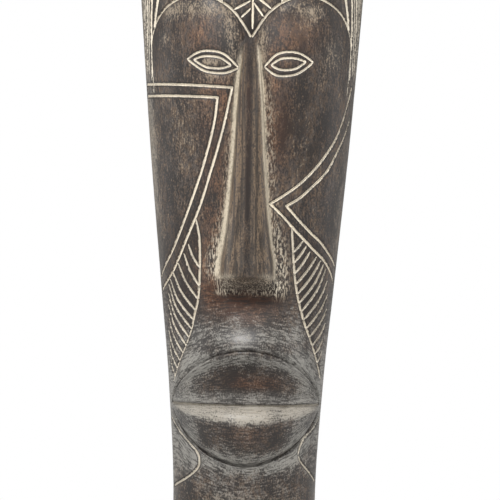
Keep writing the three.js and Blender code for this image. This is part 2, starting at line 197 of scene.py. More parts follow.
def mouth_rise(across, up):
    inwards = 1 - clamp01(np.abs(across) / 100) ** 2.4
    half = np.maximum(mouth_bow(across), SAME_PLACE)
    middle = (1 - clamp01(np.abs(across) / profile(MUZZLE_EDGE, up)) ** 2.2) ** 0.8
    swell = ease(NOSE_FOOT, RIM, up) ** MUZZLE_SWELL * ease(SLIT - 4, SLIT, up)
    muzzle = MUZZLE_RISE * middle * swell
    t = clamp01((up - SLIT) / ((RIM - SLIT) * half))
    upper_lip = inwards * (mix(SLIT_RISE, MUZZLE_RISE - 0.001, t ** 1.6) + RIM_RISE * ease(*RIM_STEP, t))
    t = clamp01((SLIT - up) / ((SLIT - CHIN) * half))
    bulge = np.sin(math.pi * t ** 0.62)
    lower_lip = inwards * (mix(SLIT_RISE, JAW_RISE, t) + (LOWER_LIP_RISE - SLIT_RISE) * bulge)
    jaw = inwards * JAW_RISE * ease(4, CHIN, up)
    above = np.where(up > upper_edge(across) + SAME_PLACE, muzzle, upper_lip)
    below = np.where(up < lower_edge(across), jaw, lower_lip)
    return np.where(up >= SLIT, above, below)


# %% The hollows under the jaw
# Each one's side, the share across of its inner corner, its middle, and its reach above and below
POCKETS = [(-1, 62, 13.4, 5.6, 4.6), (1, 72, 14.4, 5.6, 4.4)]
POCKET_POINT = 1.3
POCKET_OPENS = (100, 94)


def pocket_rise(across, up):
    rise = 0
    for side, corner, middle, above, below in POCKETS:
        out = (100 - across * side) / (100 - corner)
        off = np.abs(up - middle) / np.where(up > middle, above, below)
        reach = np.minimum(np.maximum(out, 0) ** POCKET_POINT + off ** POCKET_POINT, 1)
        rise = rise - POCKET_DEPTH * ease(*POCKET_OPENS, across * side) * (1 - reach ** 3)
    return rise


# %% Any point of the surface
def surface(turn, up):
    """Points for turn, the degrees round from the middle of the face, and up, the height share."""
    turn, up = np.broadcast_arrays(np.asarray(turn, float), np.asarray(up, float))
    share = np.sin(np.radians(turn))
    across = share * 100
    rise = nose_rise(across, up) + lobe_rise(across, up) + mouth_rise(across, up) + pocket_rise(across, up)
    front = between(FOOT_FRONT_DEPTH, BROW_FRONT_DEPTH, up) * bow(share, FRONT_ROUNDNESS) + rise
    back = between(FOOT_BACK_DEPTH, BROW_BACK_DEPTH, up) * bow(share, BACK_ROUNDNESS)
    y = np.where(np.cos(np.radians(turn)) < 0, back, -front)
    return np.stack([half_width(up) * share, y, HEIGHT * up / 100], -1)


def turn_of(across):
    return np.degrees(np.arcsin(np.clip(np.asarray(across, float) / 100, -1, 1)))


print("tip of the nose", [round(float(v), 4) for v in surface(0, NOSE_TIP)])

# %% [markdown]
# ## A fine mesh that follows the forms
# A plain grid would leave saw teeth along the nose and the lips. Here the grid's columns follow the nose's
# flanks and its rows bend with the lips, so every sharp form lies along an edge of the mesh. It is made very
# fine on the face and coarser behind. Later the Decimate modifier takes out the faces that the flat
# stretches don't need.

# %% Rows that bend with the lips
FINE_ROW = 0.00062
CROWN_ROWS = 150
ROWS_BEND_FROM = 5
NARROWEST_BOW = 0.3


def bent_row(up, turn):
    beyond = np.abs(turn) - 90
    half_front = np.maximum(mouth_bow(100 * np.sin(np.radians(turn))), NARROWEST_BOW)
    half_back = mix(NARROWEST_BOW, 1, ease(0, 60, beyond))
    half = np.where(beyond <= 0, half_front, half_back)
    bottom = SLIT - (SLIT - CHIN) * half
    top = SLIT + (RIM - SLIT) * half
    below_chin = mix(ROWS_BEND_FROM, bottom, (up - ROWS_BEND_FROM) / (CHIN - ROWS_BEND_FROM))
    lower_lip = mix(SLIT, bottom, (SLIT - up) / (SLIT - CHIN))
    upper_lip = mix(SLIT, top, (up - SLIT) / (RIM - SLIT))
    above_rim = mix(NOSE_FOOT, top, (NOSE_FOOT - up) / (NOSE_FOOT - RIM))
    bent = np.select([up < CHIN, up < SLIT, up < RIM], [below_chin, lower_lip, upper_lip], above_rim)
    return np.where((up <= ROWS_BEND_FROM) | (up >= NOSE_FOOT), up, bent)


def row_heights():
    stops = [0, ROWS_BEND_FROM, CHIN, SLIT, RIM, NOSE_FOOT, NOSE_TIP, NOSE_TOP, CROWN_START]
    rows = [np.zeros(1)]
    for start, stop in zip(stops, stops[1:]):
        count = round((stop - start) / 100 * HEIGHT / FINE_ROW)
        rows.append(np.linspace(start, stop, count + 1)[1:])
    angle = np.linspace(0, math.pi / 2, CROWN_ROWS + 1)[1:-1]
    rows.append(CROWN_START + (100 - CROWN_START) * np.sin(angle))
    return np.concatenate(rows)


rows = row_heights()
print("rows", len(rows))

# %% Columns that follow the nose
NOSE_COLUMNS = 46
FLANK_COLUMNS = 170
BACK_COLUMNS = 120
NOSE_SKIRT = 1.15


def column_turns(up):
    """Turns of every column on each row, from the middle of the back round to it again."""
    edge = turn_of(NOSE_SKIRT * profile(NOSE_HALF, up))[:, None]
    nose = edge * np.linspace(0, 1, NOSE_COLUMNS + 1)[None, :]
    flank = mix(edge, 90, np.linspace(0, 1, FLANK_COLUMNS + 1)[None, 1:])
    behind = np.linspace(90, 180, BACK_COLUMNS // 2 + 1)[None, 1:] + 0 * edge
    half = np.concatenate([nose, flank, behind], 1)
    return np.concatenate([-half[:, :0:-1][:, 1:], half], 1)


turns = column_turns(rows)
print("columns", turns.shape[1])

# %% [markdown]
# ## Making the mesh from arrays
# foreach_set hands whole arrays to Blender at once, which is far faster than adding vertices one by one. The
# foot and the crown are closed with a fan of triangles, so the piece is one closed skin.

# %% Build a closed skin from rings of points
def skin_from_rings(name, rings):
    count_rows, count = rings.shape[:2]
    points = np.concatenate([rings.reshape(-1, 3), [[0, 0, 0], [0, 0, HEIGHT]]])
    foot, crown = len(points) - 2, len(points) - 1
    start = np.arange(count_rows * count).reshape(count_rows, count)
    after = np.roll(start, -1, 1)
    quads = np.stack([start[:-1], after[:-1], after[1:], start[1:]], -1).reshape(-1)
    feet = np.stack([np.full(count, foot), after[0], start[0]], -1).reshape(-1)
    tops = np.stack([np.full(count, crown), start[-1], after[-1]], -1).reshape(-1)
    loops = np.concatenate([quads, feet, tops])
    sizes = np.concatenate([np.full(len(quads) // 4, 4), np.full(2 * count, 3)])
    mesh = bpy.data.meshes.new(name)
    mesh.vertices.add(len(points))
    mesh.vertices.foreach_set("co", points.astype(np.float32).ravel())
    mesh.loops.add(len(loops))
    mesh.loops.foreach_set("vertex_index", loops.astype(np.int32))
    mesh.polygons.add(len(sizes))
    mesh.polygons.foreach_set("loop_start", (np.cumsum(sizes) - sizes).astype(np.int32))
    mesh.polygons.foreach_set("use_smooth", np.ones(len(sizes), bool))
    mesh.update(calc_edges=True)
    piece = bpy.data.objects.new(name, mesh)
    bpy.context.collection.objects.link(piece)
    return piece


bent = bent_row(rows[:, None], turns)
mask = skin_from_rings("carved_face", surface(turns, bent))
print("fine mesh", len(mask.data.vertices), "vertices")

# %% [markdown]
# ## Notes on the surface
# The paint needs to know where it is: on the muzzle, beside the nose, in a worn patch. Attributes carry such
# notes from here to the material. Each one is a number at every vertex, mostly from 0 to 1, and it has soft
# borders.

# %% Write notes as attributes
def note(mesh, name, values):
    layer = mesh.attributes.new(name, "FLOAT", "POINT")
    padded = np.concatenate([values.ravel(), [0, 0]])
    layer.data.foreach_set("value", padded.astype(np.float32))


def patch(across, up, middle, half):
    """A soft oval patch on the face, 1 in its middle."""
    return np.exp(-((across - middle[0]) / half[0]) ** 2 - ((up - middle[1]) / half[1]) ** 2)


across = 100 * np.sin(np.radians(turns))
turned = np.abs(turns)
is_front = np.cos(np.radians(turns)) > 0
row = rows[:, None] + 0 * turns
beside_nose = np.abs(across) / profile(NOSE_HALF, bent)
print("notes for", across.size, "vertices")

# %% Where the wood is rubbed back to brown
# Each soft patch has its middle across and up, its half size across and up, and its strength
RUBBED_BROWN = [
    (-46, 77.8, 14, 2.8, 0.8),
    (38, 77.6, 21, 2.8, 0.85),
    (22, 64, 14, 10, 0.8),
    (-28, 69, 20, 2.2, 0.8),
    (20, 70, 6, 5, 0.5),
    (-30, 66, 22, 7, 0.4),
    (-8, 62, 5, 12, 0.5),
    (-20, 66, 8, 3.5, 0.3),
    (20, 73, 7, 4, 0.4),
    (-33, 53, 13, 9, 0.8),
    (-42, 42, 13, 4.5, 0.8),
    (-4, 37.3, 40, 1.9, 1.0),
    (-46, 42, 7, 5, 0.8),
    (4, 35.2, 30, 1.2, 0.5),
    (10, 25.4, 34, 1.1, 1.0),
    (4, 17.6, 26, 1.6, 0.6),
    (-8, 9, 12, 2.5, 0.6),
]
print("brown patches", len(RUBBED_BROWN))

# %% Where it is paler: whitewash haze, and painted light on the brow tops, the muzzle, the lips, the chin and at the sides
PALE_HAZE_AND_LIGHT = [
    (-45, 81.4, 26, 1.3, 0.7),
    (-20, 79, 7, 2.4, 0.25),
    (-72, 81, 8, 1.2, 0.5),
    (-80, 77, 6, 1.2, 0.4),
    (-18, 76, 8, 4.5, 0.55),
    (34, 81.6, 24, 1.1, 0.4),
    (54, 80.8, 9, 1.4, 0.6),
    (74, 75, 10, 2.5, 0.45),
    (14, 74, 8, 6, 0.35),
    (-38, 71, 14, 0.9, 0.5),
    (-36, 73.3, 13, 0.6, 1.0),
    (-60, 62, 30, 10, 0.15),
    (0, 32.2, 60, 1.6, 0.5),
    (0, 28.6, 60, 1.1, 0.25),
    (-60, 28.3, 18, 1.6, 0.5),
    (64, 28.2, 20, 1.8, 0.8),
    (-22, 48.5, 4, 4.5, 0.9),
    (10, 77.5, 4, 4, 0.5),
    (-74, 16, 12, 2.2, 1.0),
    (68, 16.5, 14, 2, 0.8),
    (-22, 15.6, 10, 1.2, 0.4),
    (-98, 23, 8, 7, 0.7),
    (98, 23, 8, 6, 0.8),
    (-97, 62, 5, 9, 0.4),
    (-45, 33, 30, 3, 0.35),
    (45, 33, 30, 3, 0.35),
    (-76, 24, 18, 7, 0.75),
    (76, 23, 15, 6, 0.75),
    (0, 13.2, 80, 1.5, 0.9),
    (0, 11, 95, 2, 0.15),
    (-60, 28, 12, 2, 0.3),
    (-20, 6.5, 26, 3, 0.6),
    (35, 4.5, 30, 3, 0.5),
    (0, 1, 90, 3, 0.5),
    (-84, 13.5, 16, 3, 0.4),
]
print("pale patches", len(PALE_HAZE_AND_LIGHT))

# %% Where it is darker: painted shade in the hollows, along the borders and under the nose and lips
PAINTED_SHADE = [
    (0, 37.8, 46, 2.4, 0.8),
    (-30, 40, 12, 1.6, 0.4),
    (0, 78.5, 9, 2.4, 0.7),
    (-15, 81.5, 8, 1.5, 0.4),
    (60, 70, 26, 5, 0.35),
    (62, 61, 22, 7, 0.35),
    (-62, 64, 22, 4, 0.3),
    (-75, 52, 14, 8, 0.25),
    (14, 70, 5, 3, 0.4),
    (44, 63, 14, 6, 0.45),
    (-80, 65, 8, 5, 0.3),
    (-62, 61, 8, 3, 0.3),
    (8, 76, 6, 6, 0.5),
    (26, 64, 8, 6, 0.3),
    (-26, 71, 12, 2, 0.25),
    (30, 47, 6, 2, 0.3),
    (40, 77, 10, 3, 0.3),
    (24, 59, 5, 5, 0.2),
    (8, 24.3, 46, 1.2, 0.25),
    (-74, 36, 10, 6, 0.3),
    (72, 37, 10, 6, 0.3),
    (42, 75.5, 14, 2, 0.3),
    (34, 64, 8, 7, 0.35),
    (-97, 81.5, 6, 3, 0.6),
    (97, 81.5, 6, 3, 0.6),
    (30, 81.2, 24, 1.6, 0.8),
    (-50, 81.4, 12, 1.6, 0.6),
    (60, 59, 12, 4, 0.35),
    (-34, 60, 8, 4, 0.4),
    (-48, 57, 8, 5, 0.2),
    (-86, 81, 10, 2, 0.5),
    (-55, 47, 6, 2.5, 0.4),
    (-40, 39, 9, 2.6, 0.5),
    (-16, 35, 24, 1.5, 1.0),
    (-2, 28.3, 16, 1, 0.3),
    (-72, 78, 16, 4, 0.5),
    (72, 78, 18, 5, 0.55),
    (0, 27.3, 50, 2, 0.7),
    (10, 24.6, 34, 1.3, 0.35),
    (0, 17.4, 50, 1.8, 0.25),
    (-70, 44, 20, 8, 0.5),
    (72, 43, 18, 9, 0.5),
]
print("dark patches", len(PAINTED_SHADE))

# %% Patches and strips as notes
SIDES_FADE = (120, 92)


def patches(spots):
    """All the patches of a list. They fade out where the face turns into the side."""
    total = sum(spot[4] * patch(across, bent, spot[:2], spot[2:4]) for spot in spots)
    return total * ease(*SIDES_FADE, turned)


def band(value, start, stop, soft):
    """1 between start and stop, with soft borders."""
    return ease(start - soft, start, value) * ease(stop + soft, stop, value)


# %% Notes beside the nose, in shares and degrees
left_side = across < 0
out = np.abs(across)
from_nose = out - profile(NOSE_HALF, bent)
low_down = ease(54, 43, bent)
on_nose = ease(NOSE_FOOT + 1, NOSE_TIP + 1, bent) * is_front
nose_front = ease(1.05, 0.9, beside_nose) * on_nose * ease(77, 74, bent)

# The rubbed ridges along the nose, and the thin one on its underside
edge_at = np.where(left_side, mix(1.6, 3.2, low_down), -0.8)
edge_half = np.where(left_side, mix(1.8, 2.9, low_down), 1.6)
nose_edge = 1.3 * np.exp(-(((from_nose - edge_at) / edge_half) ** 2))
nose_edge *= on_nose * ease(77, np.where(left_side, 71, 73), bent)
nose_edge *= np.where(left_side, 1, mix(0.7, 1, ease(44, 50, bent)))
nose_lip = band(bent, 41.2, 41.4, 0.25) * ease(1.15, 1.0, beside_nose)
nose_lip *= ease(0.2, 0.9, beside_nose) * is_front

# The dark stripe down the middle of the nose
stripe = np.exp(-(((across + 1.1) / mix(2.9, 4.2, ease(48, 43, bent))) ** 2))
stripe *= ease(41, 42.5, bent) * ease(82, 79, bent)

# The rough strips that a chisel left at both sides, wider towards the nostrils
chiselled_left = ease(2, 5, from_nose) * ease(mix(12, 24, low_down), mix(4, 8, low_down), from_nose)
chiselled_left *= mix(0.55, 1, low_down) * ease(68, 60, bent) * ease(39.5, 42.5, bent)
chiselled_right = ease(-3, 0, from_nose) * ease(mix(15, 24, low_down), mix(3, 8, low_down), from_nose)
chiselled_right *= mix(0.65, 0.9, low_down) * ease(76, 66, bent) * ease(37, 40, bent)
chiselled = np.where(left_side, chiselled_left, chiselled_right) * is_front

# The chalky strip under the nose, and its shadow
under_nose = band(row, 38.9, 40.9, 0.5) * ease(42, 30, out) * mix(0.45, 0.8, ease(8, 26, out)) * is_front
under_shadow = band(row, 37.9, 39.8, 0.8) * ease(52, 30, out) * is_front
print("chiselled vertices", int((chiselled > 0.5).sum()))

# %% Notes round the mouth, with painted highlights on the lips and the chin
around_mouth = ease(41, 39, row) * ease(4, 10, row) * ease(100, 80, turned)
# Painted highlights along the upper lip's rim and just above it, a painted reflection above the slit, a
# painted highlight on the lower lip under it, and painted light at both edges of the chin's groove
rim_highlight = band(row, RIM - 1.6, RIM - 0.7, 0.5) * is_front
above_rim = band(row, RIM + 0.3, RIM + 0.8, 0.25) * is_front
slit_reflection = ease(SLIT + 3.2, SLIT + 0.6, row) * (row >= SLIT) * is_front
lip_highlight = ease(SLIT - 3.3, SLIT - 1.6, row) * (row < SLIT) * is_front
lip_highlight *= mix(0.55, 1, np.exp(-((across / 55) ** 2))) * ease(100, 85, out)
chin_highlight = band(row, CHIN + 0.5, CHIN + 1.3, 0.4) * ease(15, 40, out) * is_front
chin_highlight += band(row, CHIN - 1.6, CHIN - 0.8, 0.4) * ease(25, 60, out) * is_front
polished = patch(across, bent, (-6, 32.2), (20, 1.5)) + patch(across, bent, (-3, 20.5), (45, 2.4))
print("vertices round the mouth", int((around_mouth > 0.5).sum()))

# %% Notes at the sides and on the hair; the sides get a painted sheen
hair = ease(64, 68, turned) * ease(70, mix(74, 90, ease(90, 130, turned)), bent)
hair *= ease(100, 86, row)
# A painted sheen where the face turns into the sides, stronger at the left temple
side_sheen = ease(58, 84, turned) * ease(150, 100, turned)
left_temple_sheen = left_side * ease(66, 78, turned) * ease(120, 95, turned)
side_sheen += left_temple_sheen * band(bent, 54, 68, 6)
print("vertices in the hair", int((hair > 0.5).sum()))

# %% Add the notes up and keep them
# The pale patches: whitewash haze, and painted highlights and sheen
haze_and_light = patches(PALE_HAZE_AND_LIGHT)
pale = mix(mix(0.36, 0.27, ease(6, 14, bent)), 0.15, ease(31, 40, bent)) + haze_and_light
# The painted highlights round the mouth and the painted side sheen go into the whitewash, cream and veil notes
# too
pale += 0.7 * nose_edge + 0.5 * nose_lip + 0.3 * chiselled + 0.4 * under_nose
pale += 0.3 * above_rim + 0.4 * rim_highlight + 0.5 * slit_reflection + lip_highlight + 0.4 * chin_highlight
pale += 0.5 * hair + 0.2 * side_sheen
pale -= 0.12 * nose_front + stripe * is_front
cream = nose_edge + nose_lip + 0.5 * chiselled + 0.5 * under_nose + lip_highlight + 0.6 * hair
# The veil note: mostly painted highlights, reflection and sheen, with some whitewash haze
soft_pale = side_sheen + 1.45 * slit_reflection + 1.5 * lip_highlight + 0.4 * hair + 0.55 * haze_and_light
soft_pale += 0.4 * above_rim * ease(45, 10, out) + 0.4 * rim_highlight + 0.4 * chin_highlight
# The shade note: painted shade from the dark patches and the shadow under the nose, with the nose's dark
# stripe
shade = (1.3 * stripe + 0.6 * under_shadow) * is_front + patches(PAINTED_SHADE)

note(mask.data, "worn", np.clip(patches(RUBBED_BROWN), 0, 1))
note(mask.data, "pale", np.clip(pale, 0, 1.3))
note(mask.data, "cream", np.clip(cream, 0, 1))
note(mask.data, "chiselled", np.clip(chiselled + under_nose, 0, 1))
note(mask.data, "shade", np.clip(shade, 0, 1))
note(mask.data, "nose_tan", nose_front * (1 - stripe))
note(mask.data, "nose_edge", np.clip(nose_edge + 0.35 * nose_lip, 0, 1))
note(mask.data, "around_mouth", around_mouth)
note(mask.data, "polished", np.clip(polished * is_front, 0, 1))
note(mask.data, "soft_pale", np.clip(soft_pale, 0, 1.5))
note(mask.data, "row_height", row / 100 * HEIGHT)
print("notes", [a.name for a in mask.data.attributes if a.data_type == "FLOAT"])

# %% [markdown]
# ## The knife lines
# The pattern is cut with a V-shaped gouge, and each line follows the skin. A line could be cut by a boolean
# solid, but then its edges would be hard and the paint would not know where the cut is. Instead the lines
# are laid out as thin wires on the surface, and a Geometry Nodes tree presses the skin in near each wire.

# %% Lay a line out on the surface
LINE_STEP = 0.0012
TIP = 0.008
TIP_WIDTH_SHARE = 0.3
# Roughly the length of skin in one degree of turn
TURN_LENGTH = BROW_WIDTH * math.pi / 2 / 180


def spline(points, per_span=24):
    """Points along a Catmull-Rom curve, the same curve that the solid's cutters follow."""
    points = np.array(points, float)
    if len(points) == 2:
        return mix(points[0], points[1], np.linspace(0, 1, per_span * 2)[:, None])
    padded = np.concatenate([points[:1], points, points[-1:]])
    t = np.linspace(0, 1, per_span, endpoint=False)[:, None]
    spans = []
    for p0, p1, p2, p3 in zip(padded, padded[1:], padded[2:], padded[3:]):
        v0, v1 = (p2 - p0) / 2, (p3 - p1) / 2
        cubic = 2 * p1 - 2 * p2 + v0 + v1
        square = 3 * p2 - 3 * p1 - 2 * v0 - v1
        spans.append(cubic * t ** 3 + square * t ** 2 + v0 * t + p1)
    return np.concatenate(spans + [points[-1:]])


def evenly(path, step):
    lengths = np.concatenate([[0], np.cumsum(np.linalg.norm(np.diff(path, axis=0), axis=1))])
    count = max(4, round(lengths[-1] / step))
    at = np.linspace(0, lengths[-1], count + 1)
    return np.stack([np.interp(at, lengths, path[:, k]) for k in range(path.shape[1])], -1), at


def on_face(points):
    return [(float(turn_of(across)), up) for across, up in points]


wires = []


def cut(lines, width, depth, chalk, ends="both", tip=TIP):
    """Keeps each line as even points with its half width, depth and amount of whitewash.

    ends says which of its ends run out to a point, over the length of tip.
    """
    for points in lines:
        scaled = [(turn * TURN_LENGTH, up / 100 * HEIGHT) for turn, up in points]
        flat, at = evenly(spline(scaled), LINE_STEP)
        spots = surface(flat[:, 0] / TURN_LENGTH, flat[:, 1] / HEIGHT * 100)
        size = np.ones(len(at))
        if ends in ("both", "first"):
            size *= np.sqrt(clamp01(at / tip))
        if ends in ("both", "last"):
            size *= np.sqrt(clamp01((at[-1] - at) / tip))
        half = width / 2 * mix(TIP_WIDTH_SHARE, 1, size)
        wires.append((spots, half, depth * size, np.full(len(at), chalk)))


# %% The heart-shaped edge of the face and the leaf above it
LINE_WIDTH = 0.0028
LINE_DEPTH = 0.0019
HEART = [
    (92, 69), (92, 76), (87, 79.3), (78, 81.5), (63, 83.1), (46, 83.6), (28, 82.6), (14, 80.7), (1, 77.4),
]
LEAF_RIB = [(0.8, 78.4), (0.8, 94)]
LEAF_EDGE = [(26, 82.5), (29, 86), (22, 91), (1, 95.5)]
LEAF_REACH = [(79.3, 7), (80.7, 12), (82.2, 22), (83.5, 26), (86, 28), (91, 21), (95, 3)]
LEAF_VEINS = [(-1, 81.5, 1.4), (1, 82.5, 2.2)]
VEINS_PER_SIDE = 6


def mirrored(points):
    return [(-across, up) for across, up in points]


def leaf_lines():
    lines = [LEAF_RIB, LEAF_EDGE, mirrored(LEAF_EDGE)]
    for side, first, drop in LEAF_VEINS:
        for i in range(VEINS_PER_SIDE):
            start = first + i + 0.18 * i * i
            reach = float(profile(LEAF_REACH, start - drop))
            lines.append([(side, start), (side * reach, start - drop)])
    return lines


cut([on_face(HEART), on_face(mirrored(HEART))], LINE_WIDTH, LINE_DEPTH, 0.8, "first")
cut([on_face(line) for line in leaf_lines()], LINE_WIDTH, LINE_DEPTH, 1)
print("wires so far", len(wires))

# %% The eyes
EYE_LINE_WIDTH = 0.0024
EYE_LINE_DEPTH = 0.0016
EYE_TIP = 0.003
ALMONDS = [
    [(-58.5, 73.8), (-38, 75), (-11, 72.6), (-30, 71.7)],
    [(-52.6, 73.7), (-38, 74.2), (-17.7, 72.9), (-32, 72.4)],
    [(12, 72.8), (34, 75), (57, 73.6), (30, 71.4)],
    [(18, 73), (34, 74.1), (50.4, 73.6), (32, 72.3)],
]


def almond_lines(left, top, right, bottom):
    for peak in (top, bottom):
        shoulders = [(mix(tip[0], peak[0], 0.5), mix(tip[1], peak[1], 0.8)) for tip in (left, right)]
        yield [left, shoulders[0], peak, shoulders[1], right]


for almond in ALMONDS:
    cut([on_face(line) for line in almond_lines(*almond)], EYE_LINE_WIDTH, EYE_LINE_DEPTH, 1, "both", EYE_TIP)

# %% The bands on the cheeks
SEVEN = [
    [(-99, 70.6), (-17, 69.6)],
    [(-99, 68.8), (-31, 68.1)],
    [(-31, 68.1), (-36, 63.3), (-50, 56.3), (-69, 49.4), (-85, 44.7), (-98, 41.2)],
    [(-17, 69.6), (-26.5, 63.2), (-39, 57), (-54, 50.8), (-76.5, 44), (-89, 41), (-99, 38.8)],
]
KAY = [
    [(22, 52.4), (35, 53.6), (51, 55.4), (66, 57.8), (78, 60.5), (86, 63), (91, 65.9), (96, 70.4)],
    [(39, 52.1), (52, 53.3), (64, 55), (78, 57.4), (86, 60), (93, 62.9), (97.5, 66)],
    [(39, 52.1), (53, 50), (67, 48.1), (78, 46.8), (88, 45.2), (98, 43)],
    [(22, 52.4), (36, 50.5), (48, 48.7), (60, 47.1), (73, 45.4), (86, 43.7), (98, 40.6)],
]
cut([on_face(line) for line in SEVEN + KAY], LINE_WIDTH, LINE_DEPTH, 1, "none")

# %% The feathers
FEATHERS = [
    {
        "side": -1,
        "barbs": 12,
        "spine": [
            (55.5, 50), (52.6, 46.8), (53.5, 42.3), (56.3, 38.2), (61, 35.8), (67, 33), (76, 30.3),
            (85, 27.9), (92.5, 25.2),
        ],
        "edge": [(27.4, 94.4), (31, 94.9), (35.7, 93), (39.6, 90.5), (41.9, 84.8), (44.6, 71.2), (46.2, 65)],
        "starts": [(0, 46.2), (0.36, 40.9), (0.45, 40.1), (1, 28.9)],
        "ends": [(0, 42.6), (0.09, 39.9), (0.27, 36.2), (1, 26)],
        "sags": [(0, 1.8), (0.2, 3.4), (0.45, 5.6), (0.65, 4), (1, 1.5)],
    },
    {
        "side": 1,
        "barbs": 13,
        "spine": [
            (45.9, 48.8), (47.6, 47), (51.6, 42.5), (57.5, 38.6), (67.1, 34.8), (77.9, 31.8), (88.5, 28.5),
            (95, 25.8),
        ],
        "edge": [(30.1, 93), (36.8, 94), (41.3, 90.4), (42.9, 87), (44.3, 78.5), (45.4, 67.6), (47.1, 59)],
        "starts": [(0, 47), (0.25, 44.6), (0.5, 42.7), (0.58, 41), (1, 29.9)],
        "ends": [(0, 45.1), (0.33, 38.9), (0.67, 33.6), (1, 28.4)],
        "sags": [(0, 0.6), (0.25, 1.6), (0.5, 4.4), (0.75, 3), (1, 1)],
    },
]


def feather_lines(feather):
    lines = [feather["spine"]]
    spine_at = [(up, across) for across, up in reversed(feather["spine"])]
    for t in np.linspace(0, 1, feather["barbs"]):
        high, low = float(profile(feather["starts"], t)), float(profile(feather["ends"], t))
        start, end = float(profile(feather["edge"], high)), float(profile(spine_at, low))
        middle = (mix(start, end, 0.5) + float(profile(feather["sags"], t)), mix(high, low, 0.5))
        lines.append([(start, high), middle, (end, low)])
    return [[(across * feather["side"], up) for across, up in line] for line in lines]


for feather in FEATHERS:
    cut([on_face(line) for line in feather_lines(feather)], LINE_WIDTH, LINE_DEPTH, 0.8)
print("wires with the feathers", len(wires))

# %% The lips and the hollows under the jaw
LIP_LINE_WIDTH = 0.004
LIP_LINE_DEPTH = 0.0028
SLIT_LINE = [(-MOUTH_HALF, SLIT), (0, SLIT), (MOUTH_HALF, SLIT)]
POCKET_LINES = [
    [(-98, 19.6), (-88, 17.6), (-67, 15), (-62, 13.5), (-66, 12.1), (-83, 10.4), (-98, 9)],
    [(98, 20), (92, 18.4), (80, 16.9), (75, 15.8), (72, 14.4)],
    [(72, 14.4), (79, 13), (90, 11.5), (98, 10)],
]


def edge_line(edge, reach, steps=60):
    across = -reach * np.cos(np.linspace(0, math.pi, steps + 1))
    return [(float(a), float(edge(a))) for a in across]


lips = [edge_line(edge, MOUTH_HALF - 1) for edge in (upper_edge, lower_edge)]
cut([on_face(line) for line in lips], LIP_LINE_WIDTH, LIP_LINE_DEPTH, 0)
cut([on_face(SLIT_LINE)], LINE_WIDTH, LINE_DEPTH, 0.3)
cut([on_face(line) for line in POCKET_LINES], LINE_WIDTH, LINE_DEPTH, 0.7)

# %% The hair: long cut lines, with thinner strokes between them
HAIR_LINE_WIDTH = 0.0034
HAIR_LINE_DEPTH = 0.0016
THIN_HAIR = (0.0026, 0.0008)
FINE_HAIR = (0.002, 0.0007)
BACK_HAIR_TIP = 0.03
SIDE_LOCKS = 4
ALL_LOCKS = 7
BACK_LOCKS = 5
BACK_SPREAD = 30


def side_lock(i, side):
    foot = 79 if i == 0 else 70.5 + i
    line = [(62 + 7 * i, foot), (57.5 + 6.3 * i, 82.6), (48 + 7 * i, 88.5), (35 + 9 * i, 95)]
    return [(turn * side, up) for turn, up in line]


def back_lock(i):
    turn = 180 + BACK_SPREAD * (i - (BACK_LOCKS - 1) / 2)
    return [(turn, 70), (turn, 82), (turn, 93)]


sides = (-1, 1)
cut([side_lock(i, side) for side in sides for i in range(SIDE_LOCKS)], HAIR_LINE_WIDTH, HAIR_LINE_DEPTH, 0.9)
cut([side_lock(i, side) for side in sides for i in range(SIDE_LOCKS, ALL_LOCKS)], *THIN_HAIR, 0.7)
cut([back_lock(i) for i in range(BACK_LOCKS)], HAIR_LINE_WIDTH, HAIR_LINE_DEPTH, 0.6, "both", BACK_HAIR_TIP)
cut([side_lock(i + 0.5, side) for side in sides for i in range(1, ALL_LOCKS)], *FINE_HAIR, 0.6)
cut([back_lock(i + 0.5) for i in range(-1, BACK_LOCKS)], *FINE_HAIR, 0.5, "both", BACK_HAIR_TIP)
print("wires in all", len(wires))

# %% Join the wires into one object
def wire_object(name):
    points = np.concatenate([w[0] for w in wires])
    firsts = np.cumsum([0] + [len(w[0]) for w in wires[:-1]])
    edges = np.concatenate([
        np.stack([np.arange(len(w[0]) - 1), np.arange(1, len(w[0]))], -1) + first
        for w, first in zip(wires, firsts)
    ])
    mesh = bpy.data.meshes.new(name)
    mesh.from_pydata(points.tolist(), edges.tolist(), [])
    for k, field in enumerate(("half_width", "cut_depth", "chalk"), 1):
        layer = mesh.attributes.new(field, "FLOAT", "POINT")
        layer.data.foreach_set("value", np.concatenate([w[k] for w in wires]).astype(np.float32))
    piece = bpy.data.objects.new(name, mesh)
    bpy.context.collection.objects.link(piece)
    return piece


layout = wire_object("line_layout")
print("layout points", len(layout.data.vertices))

# %% [markdown]
# ## The carving tree
# For each vertex the tree asks how far the nearest wire is. Inside the wire's half width the skin is pressed
# in along its normal, in a soft V. The distance is stored too, so that the whitewash can lie in the cut and
# shade can be painted beside it. The tool marks are noise, strongest where the chisel was left rough.

# %% Helpers for node trees
def new_tree(name, inputs):
    tree = bpy.data.node_groups.new(name, "GeometryNodeTree")
    for label, kind, default in inputs:
        socket = tree.interface.new_socket(name=label, in_out="INPUT", socket_type=kind)
        if default is not None:
            socket.default_value = default
    tree.interface.new_socket(name="Geometry", in_out="OUTPUT", socket_type="NodeSocketGeometry")
    return tree


def add(tree, kind, wired=None, **settings):
    """Adds a node. wired gives its inputs by index or name: a socket is linked, a value is set."""
    node = tree.nodes.new(kind)
    for key, value in settings.items():
        setattr(node, key, value)
    for key, value in (wired or {}).items():
        if isinstance(value, bpy.types.NodeSocket):
            tree.links.new(value, node.inputs[key])
        else:
            node.inputs[key].default_value = value
    return node


def math_node(tree, operation, a, b=0.0, clamp=False):
    node = add(tree, "ShaderNodeMath", {0: a, 1: b}, operation=operation)
    node.use_clamp = clamp
    return node.outputs[0]


def times(tree, a, b):
    return math_node(tree, "MULTIPLY", a, b)


def plus(tree, a, b):
    return math_node(tree, "ADD", a, b)


